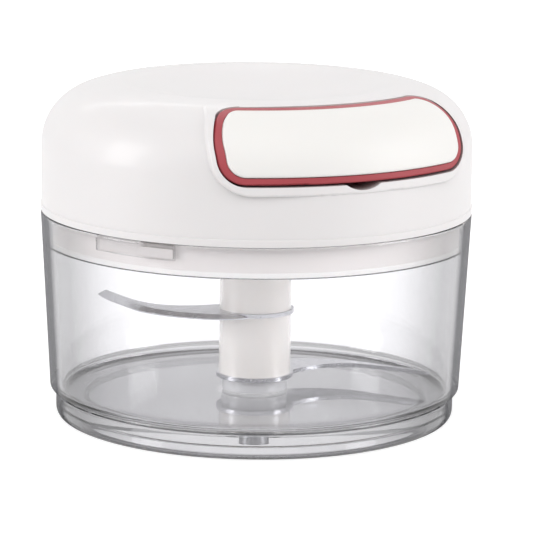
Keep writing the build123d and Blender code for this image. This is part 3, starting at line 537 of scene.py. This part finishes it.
def make_bowl():
    """The clear bowl: one turned wall with a foot ring, the pin's hole, the seal's ledge and three slots."""
    foot = bowl_rim_radius - WALL_TAPER - FOOT_INSET
    land = foot - FOOT_EDGE - FOOT_LAND
    mouth = bowl_rim_radius - RIM_WIDTH
    ledge_z = bowl_height - LEDGE_DROP
    hole = (pin_high.x - pin_low.x) / 2 - PIN_GRIP
    section = rounded([
        (0, FOOT_RECESS, 0),
        (land - FOOT_DRAFT, FOOT_RECESS, EDGE_ROUND),
        (land, 0, EDGE_ROUND),
        (foot, 0, FOOT_EDGE),
        (foot, STEP_LOW, EDGE_ROUND),
        (bowl_rim_radius - WALL_TAPER, STEP_HIGH, EDGE_ROUND),
        (bowl_rim_radius, bowl_height, EDGE_ROUND),
        (mouth, bowl_height, SMALL_ROUND),
        (mouth, ledge_z, SMALL_ROUND / 2),
        (mouth - LEDGE_WIDTH, ledge_z, SMALL_ROUND),
        (bowl_rim_radius - WALL_TAPER - WALL, FLOOR_Z, INNER_ROUND),
        (BOSS_RADIUS, FLOOR_Z, SMALL_ROUND),
        (BOSS_RADIUS, FLOOR_Z + BOSS_HEIGHT, SMALL_ROUND),
        (hole, FLOOR_Z + BOSS_HEIGHT, 0),
        (hole, pin_low.z, 0),
        (0, pin_low.z, 0),
    ])
    bowl = bpy.data.objects.new("bowl_clear", lathe("bowl_clear", section))
    bpy.context.scene.collection.objects.link(bowl)
    bowl.data.materials.append(looks["clear"])
    low, inner, outer = bowl_height - SLOT_DROP, mouth - SLOT_REACH, mouth + SLOT_DEPTH
    high, run_high = bowl_height + SLOT_OVERRUN, bowl_height - RUN_DROP
    cutters = []
    for azimuth in LUG_AZIMUTHS:
        cutters.append(sector_mesh("entry", inner, outer, low, high, azimuth, ENTRY_WIDTH))
        cutters.append(sector_mesh("run", inner - SLOT_EASE, outer - SLOT_EASE, low + SLOT_EASE, run_high,
                                   azimuth - RUN_OFFSET, RUN_WIDTH))
    cut(bowl, cutters)
    smooth(bowl.data, BOWL_SMOOTH)
    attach(bowl, "bowl")
    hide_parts("bowl")


# Pull cord

CORD_STEPS, CORD_ORDER, CORD_ROUNDNESS, RUN_STEPS = 12, 3, 3, 24


def cord_mesh(name, points, radius):
    """A tube along a smooth NURBS line through route points in millimetres."""
    data = bpy.data.curves.new(name, "CURVE")
    data.dimensions = "3D"
    data.resolution_u = CORD_STEPS
    spline = data.splines.new("NURBS")
    spline.points.add(len(points) - 1)
    for place, point in zip(spline.points, points):
        place.co = (point[0] * MM, point[1] * MM, point[2] * MM, 1)
    spline.order_u = CORD_ORDER
    spline.use_endpoint_u = True
    data.bevel_depth = radius * MM
    data.bevel_resolution = CORD_ROUNDNESS
    data.use_fill_caps = True
    holder = bpy.data.objects.new(name, data)
    bpy.context.scene.collection.objects.link(holder)
    bpy.context.view_layer.update()
    mesh = bpy.data.meshes.new_from_object(holder.evaluated_get(bpy.context.evaluated_depsgraph_get()))
    bpy.data.objects.remove(holder)
    for polygon in mesh.polygons:
        polygon.use_smooth = True
    return mesh


cord_low, cord_high = [Vector(corner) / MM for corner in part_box("pull_cord_run")]
knot_low, knot_high = [Vector(corner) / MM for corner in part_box("cord_knot")]
CORD_Z = (cord_low.z + cord_high.z) / 2
CORD_RADIUS = (cord_high.z - cord_low.z) / 2
CORD_JOIN_Y, KNOT_Y = cord_high.y, cord_low.y
WINDING_INNER, WINDING_PITCH, WINDING_TURNS = 8.2, 2.3, 4
POINTS_PER_TURN = 24
LEAD_CORNER_INSET = 3.65
LEAD_CORNER_HOLD = 2.1
CORD_STRAIGHT = 2 * CORD_RADIUS
KNOT_POINTS, KNOT_STRAND_SHARE = 36, 0.38


def cord_piece(name, points, body, node, radius=CORD_RADIUS):
    piece = new_object(name, cord_mesh(name, points, radius), "cord", body)
    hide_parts(node)


def make_cord():
    outer = WINDING_INNER + WINDING_PITCH * WINDING_TURNS
    corner = Vector((0, CORD_JOIN_Y + LEAD_CORNER_INSET, CORD_Z))
    lean = atan2(sqrt(corner.y**2 - outer**2), outer)
    touch = Vector((-outer * sin(lean), -outer * cos(lean), CORD_Z))
    heading = (corner - touch).normalized()
    start = touch + heading * CORD_STRAIGHT
    turns = []
    for k in range(POINTS_PER_TURN * WINDING_TURNS + 1):
        share = k / (POINTS_PER_TURN * WINDING_TURNS)
        radius = WINDING_INNER + (outer - WINDING_INNER) * share
        angle = atan2(touch.y, touch.x) - 2 * pi * WINDING_TURNS * (1 - share)
        turns.append((radius * cos(angle), radius * sin(angle), CORD_Z))
    cord_piece("cord_winding", turns + [start], "spool", "pull_cord_winding")
    end = Vector((0, CORD_JOIN_Y, CORD_Z))
    down = Vector((0, -1, 0))
    lead = [start, corner - heading * LEAD_CORNER_HOLD, corner, corner + down * LEAD_CORNER_HOLD / 2, end]
    cord_piece("cord_lead", lead, "lid", "pull_cord_lead")


def make_run():
    """The cord from the guide to the knot, the run that the handle pulls out, built straight at its length at
    rest.
    """
    points = [(0, CORD_JOIN_Y + (KNOT_Y - CORD_JOIN_Y) * k / RUN_STEPS, CORD_Z) for k in range(RUN_STEPS + 1)]
    run = new_object("cord_run", cord_mesh("cord_run", points, CORD_RADIUS), "cord", None)
    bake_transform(run)
    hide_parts("pull_cord_run")


def make_knot():
    """A tight three-lobed knot inside the ball that the CAD gives it."""
    centre = (knot_low + knot_high) / 2
    reach = (knot_high.z - knot_low.z) / 2
    strand = KNOT_STRAND_SHARE * reach
    size = (reach - strand) / 3
    points = []
    for k in range(KNOT_POINTS):
        turn = 2 * pi * k / (KNOT_POINTS - 1)
        points.append((
            centre.x + size * (sin(turn) + 2 * sin(2 * turn)),
            centre.y + size * sin(3 * turn),
            centre.z + size * (cos(turn) - 2 * cos(2 * turn)),
        ))
    cord_piece("cord_end_knot", points, "handle", "cord_knot", strand)


make_camera()
make_bowl()
make_cord()
make_run()
make_knot()

for node, look in node_looks.items():
    obj = nodes[node]
    if obj.data.materials:
        obj.data.materials[0] = looks[look]
    else:
        obj.data.materials.append(looks[look])


# Stage: floor, lamps and a white background; metres and watts

FLOOR_RADIUS, FLOOR_SIDES, FLOOR_DROP, FLOOR_COLOUR = 3.0, 96, 0.00005, (0.82, 0.82, 0.822)
FLOOR_GLOW, FLOOR_NEAR, FLOOR_FAR = 0.5, 0.15, 0.6
WORLD_COLOUR, WORLD_LIGHT = (1.0, 0.995, 0.995), 0.4
SIDE_TURN, SIDE_REACH, SIDE_HEIGHT = 75, 1.2, 0.28
AIM = (0, 0, 0.035)
SIDE_SIZE, SIDE_POWER = (0.45, 1.0), 7.1
# Name, place, size, power
LAMPS = (
    ("top", (0.1, 0.25, 1.0), (0.8, 0.8), 1.1),
    ("front", (-0.35, -0.6, 0.8), (1.1, 0.9), 3.2),
    ("crest", (0.42, 0.78, 0.64), (1.3, 0.08), 1.0),
)


def make_floor():
    bm = bmesh.new()
    bmesh.ops.create_circle(bm, cap_ends=True, radius=FLOOR_RADIUS, segments=FLOOR_SIDES)
    mesh = bpy.data.meshes.new("floor")
    bm.to_mesh(mesh)
    bm.free()
    floor = bpy.data.objects.new("floor", mesh)
    floor.location = (0, 0, -FLOOR_DROP)
    bpy.context.scene.collection.objects.link(floor)
    m = Nodes("floor_white")
    diffuse = m.add("ShaderNodeBsdfDiffuse")
    diffuse.inputs["Color"].default_value = (*FLOOR_COLOUR, 1)
    glow = m.add("ShaderNodeEmission")
    glow.inputs["Color"].default_value = (1, 1, 1, 1)
    path = m.add("ShaderNodeLightPath")
    away = m.add("ShaderNodeVectorMath", operation="LENGTH")
    m.link(m.coords, away.inputs[0])
    far_share = m.spread(away.outputs["Value"], FLOOR_GLOW, 1.0, FLOOR_NEAR, FLOOR_FAR)
    through = m.math("MAXIMUM", path.outputs["Is Transmission Ray"], path.outputs["Is Glossy Ray"])
    near = m.spread(through, 0.0, FLOOR_GLOW, 0.0, 1.0)
    seen = m.math("MULTIPLY", path.outputs["Is Camera Ray"], far_share)
    m.link(m.math("MAXIMUM", seen, near), glow.inputs["Strength"])
    both = m.add("ShaderNodeAddShader")
    m.link(diffuse.outputs[0], both.inputs[0])
    m.link(glow.outputs[0], both.inputs[1])
    m.link(both.outputs[0], m.output.inputs["Surface"])
    mesh.materials.append(m.material)


def make_world():
    """Even light on the object; plain white to the camera, through glass and in reflections."""
    world = bpy.data.worlds.new("studio")
    world.use_nodes = True
    tree = world.node_tree
    tree.nodes.clear()

    def greater(first, second):
        node = tree.nodes.new("ShaderNodeMath")
        node.operation = "MAXIMUM"
        tree.links.new(first, node.inputs[0])
        tree.links.new(second, node.inputs[1])
        return node.outputs[0]

    out = tree.nodes.new("ShaderNodeOutputWorld")
    light = tree.nodes.new("ShaderNodeBackground")
    light.inputs["Color"].default_value = (*WORLD_COLOUR, 1)
    light.inputs["Strength"].default_value = WORLD_LIGHT
    white = tree.nodes.new("ShaderNodeBackground")
    white.inputs["Color"].default_value = (1, 1, 1, 1)
    white.inputs["Strength"].default_value = 1.0
    path = tree.nodes.new("ShaderNodeLightPath").outputs
    seen = greater(greater(path["Is Camera Ray"], path["Is Transmission Ray"]), path["Is Glossy Ray"])
    mix = tree.nodes.new("ShaderNodeMixShader")
    tree.links.new(seen, mix.inputs[0])
    tree.links.new(light.outputs[0], mix.inputs[1])
    tree.links.new(white.outputs[0], mix.inputs[2])
    tree.links.new(mix.outputs[0], out.inputs["Surface"])
    bpy.context.scene.world = world


def lamp(name, place, size, power):
    """A rectangular lamp that shines on the middle of the object."""
    data = bpy.data.lights.new(name, "AREA")
    data.shape, data.size, data.size_y = "RECTANGLE", size[0], size[1]
    data.energy = power
    obj = bpy.data.objects.new(name, data)
    obj.location = place
    obj.rotation_euler = (Vector(AIM) - Vector(place)).to_track_quat("-Z", "Y").to_euler()
    bpy.context.scene.collection.objects.link(obj)


make_floor()
make_world()
for name, turn in (("left", -SIDE_TURN), ("right", SIDE_TURN)):
    azimuth = FIT_TURN + radians(turn)
    spot = (SIDE_REACH * sin(azimuth), -SIDE_REACH * cos(azimuth), SIDE_HEIGHT)
    lamp(name, spot, SIDE_SIZE, SIDE_POWER)
for name, spot, size, power in LAMPS:
    lamp(name, spot, size, power)
bpy.context.scene.view_settings.view_transform = "Standard"
